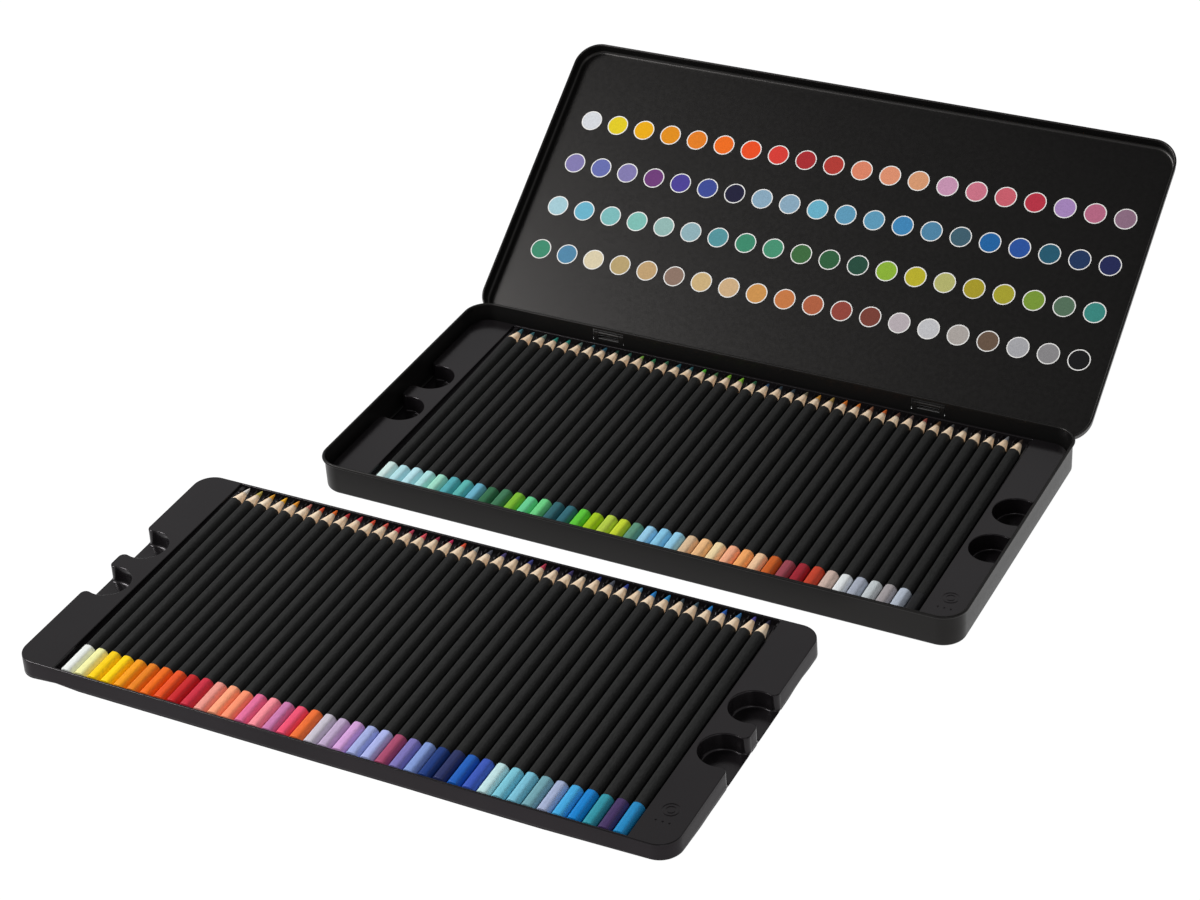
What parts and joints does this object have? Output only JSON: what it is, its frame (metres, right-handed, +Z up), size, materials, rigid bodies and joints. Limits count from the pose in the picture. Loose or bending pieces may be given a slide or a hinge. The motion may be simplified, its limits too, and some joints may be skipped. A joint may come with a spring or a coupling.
{
  "type": "hinged pencil tin",
  "caption": "Flat black tin with a hinged lid, printed colour chart inside the lid, and lift-out grooved trays of sharpened hexagonal coloured pencils with dipped ends.",
  "frame": {"origin": "centre of the underside of the tin, which is the flat face it stands on", "axes": "+X along the tin's width, to the right seen from the front; +Y from the front towards the hinge; +Z up"},
  "size_m": [0.4489, 0.5598, 0.1215],
  "materials": {
    "black_tin": "satin",
    "pin_steel": "satin",
    "tray_plastic": "gloss",
    "black_wood": "matte",
    "yellow_core": "matte",
    "yellow_lacquer": "satin",
    "red_core": "matte",
    "red_lacquer": "satin",
    "pink_core": "matte",
    "pink_lacquer": "satin",
    "violet_core": "matte",
    "violet_lacquer": "satin",
    "navy_core": "matte",
    "navy_lacquer": "satin",
    "blue_core": "matte",
    "blue_lacquer": "satin",
    "aqua_core": "matte",
    "aqua_lacquer": "satin",
    "green_core": "matte",
    "green_lacquer": "satin",
    "lime_core": "matte",
    "lime_lacquer": "satin",
    "sky_core": "matte",
    "sky_lacquer": "satin",
    "cream_core": "matte",
    "cream_lacquer": "satin",
    "brown_core": "matte",
    "brown_lacquer": "satin",
    "grey_core": "matte",
    "grey_lacquer": "satin",
    "black_core": "matte",
    "black_lacquer": "satin",
    "white_print": "satin",
    "print_row_1": "satin",
    "print_row_2": "satin",
    "print_row_3": "satin",
    "print_row_4": "satin"
  },
  "bodies": {
    "tin_base": {"base_pan": "black_tin", "hinge_pin_left": "pin_steel", "hinge_pin_right": "pin_steel"},
    "lid": {"lid_pan": "black_tin", "chart_rings": "white_print", "chart_dots_row_1": "print_row_1", "chart_dots_row_2": "print_row_2", "chart_dots_row_3": "print_row_3", "chart_dots_row_4": "print_row_4"},
    "lower_tray": {"lower_tray": "tray_plastic"},
    "upper_tray": {"upper_tray": "tray_plastic"},
    "yellow_pencils": {"yellow_pencil_barrels": "black_wood", "yellow_pencil_cores": "yellow_core", "yellow_pencil_dips": "yellow_lacquer"},
    "red_pencils": {"red_pencil_barrels": "black_wood", "red_pencil_cores": "red_core", "red_pencil_dips": "red_lacquer"},
    "pink_pencils": {"pink_pencil_barrels": "black_wood", "pink_pencil_cores": "pink_core", "pink_pencil_dips": "pink_lacquer"},
    "violet_pencils": {"violet_pencil_barrels": "black_wood", "violet_pencil_cores": "violet_core", "violet_pencil_dips": "violet_lacquer"},
    "navy_pencils": {"navy_pencil_barrels": "black_wood", "navy_pencil_cores": "navy_core", "navy_pencil_dips": "navy_lacquer"},
    "blue_pencils": {"blue_pencil_barrels": "black_wood", "blue_pencil_cores": "blue_core", "blue_pencil_dips": "blue_lacquer"},
    "aqua_pencils": {"aqua_pencil_barrels": "black_wood", "aqua_pencil_cores": "aqua_core", "aqua_pencil_dips": "aqua_lacquer"},
    "green_pencils": {"green_pencil_barrels": "black_wood", "green_pencil_cores": "green_core", "green_pencil_dips": "green_lacquer"},
    "lime_pencils": {"lime_pencil_barrels": "black_wood", "lime_pencil_cores": "lime_core", "lime_pencil_dips": "lime_lacquer"},
    "sky_pencils": {"sky_pencil_barrels": "black_wood", "sky_pencil_cores": "sky_core", "sky_pencil_dips": "sky_lacquer"},
    "cream_pencils": {"cream_pencil_barrels": "black_wood", "cream_pencil_cores": "cream_core", "cream_pencil_dips": "cream_lacquer"},
    "brown_pencils": {"brown_pencil_barrels": "black_wood", "brown_pencil_cores": "brown_core", "brown_pencil_dips": "brown_lacquer"},
    "grey_pencils": {"grey_pencil_barrels": "black_wood", "grey_pencil_cores": "grey_core", "grey_pencil_dips": "grey_lacquer"},
    "black_pencil": {"black_pencil_barrel": "black_wood", "black_pencil_core": "black_core", "black_pencil_dip": "black_lacquer"}
  },
  "joints": [
    {"name": "lid_hinge", "type": "hinge", "parent": "tin_base", "child": "lid", "pos_m": [0, 0.0953, 0.015], "axis": [-1, 0, 0], "range_deg": [-145.6, 0]},
    {"name": "lower_tray_lift", "type": "slide", "parent": "tin_base", "child": "lower_tray", "axis": [0, 0, 1], "range_m": [0, 0.04]},
    {"name": "upper_tray_lift", "type": "slide", "parent": "tin_base", "child": "upper_tray", "axis": [0, 0, 1], "range_m": [0, 0.04]},
    {"name": "yellow_pencils_lift", "type": "slide", "parent": "upper_tray", "child": "yellow_pencils", "axis": [0, 0, 1], "range_m": [0, 0.03]},
    {"name": "red_pencils_lift", "type": "slide", "parent": "upper_tray", "child": "red_pencils", "axis": [0, 0, 1], "range_m": [0, 0.03]},
    {"name": "pink_pencils_lift", "type": "slide", "parent": "upper_tray", "child": "pink_pencils", "axis": [0, 0, 1], "range_m": [0, 0.03]},
    {"name": "violet_pencils_lift", "type": "slide", "parent": "upper_tray", "child": "violet_pencils", "axis": [0, 0, 1], "range_m": [0, 0.03]},
    {"name": "navy_pencils_lift", "type": "slide", "parent": "upper_tray", "child": "navy_pencils", "axis": [0, 0, 1], "range_m": [0, 0.03]},
    {"name": "blue_pencils_lift", "type": "slide", "parent": "upper_tray", "child": "blue_pencils", "axis": [0, 0, 1], "range_m": [0, 0.03]},
    {"name": "aqua_pencils_lift", "type": "slide", "parent": "lower_tray", "child": "aqua_pencils", "axis": [0, 0, 1], "range_m": [0, 0.03]},
    {"name": "green_pencils_lift", "type": "slide", "parent": "lower_tray", "child": "green_pencils", "axis": [0, 0, 1], "range_m": [0, 0.03]},
    {"name": "lime_pencils_lift", "type": "slide", "parent": "lower_tray", "child": "lime_pencils", "axis": [0, 0, 1], "range_m": [0, 0.03]},
    {"name": "sky_pencils_lift", "type": "slide", "parent": "lower_tray", "child": "sky_pencils", "axis": [0, 0, 1], "range_m": [0, 0.03]},
    {"name": "cream_pencils_lift", "type": "slide", "parent": "lower_tray", "child": "cream_pencils", "axis": [0, 0, 1], "range_m": [0, 0.03]},
    {"name": "brown_pencils_lift", "type": "slide", "parent": "lower_tray", "child": "brown_pencils", "axis": [0, 0, 1], "range_m": [0, 0.03]},
    {"name": "grey_pencils_lift", "type": "slide", "parent": "lower_tray", "child": "grey_pencils", "axis": [0, 0, 1], "range_m": [0, 0.03]},
    {"name": "black_pencil_lift", "type": "slide", "parent": "lower_tray", "child": "black_pencil", "axis": [0, 0, 1], "range_m": [0, 0.03]}
  ]
}
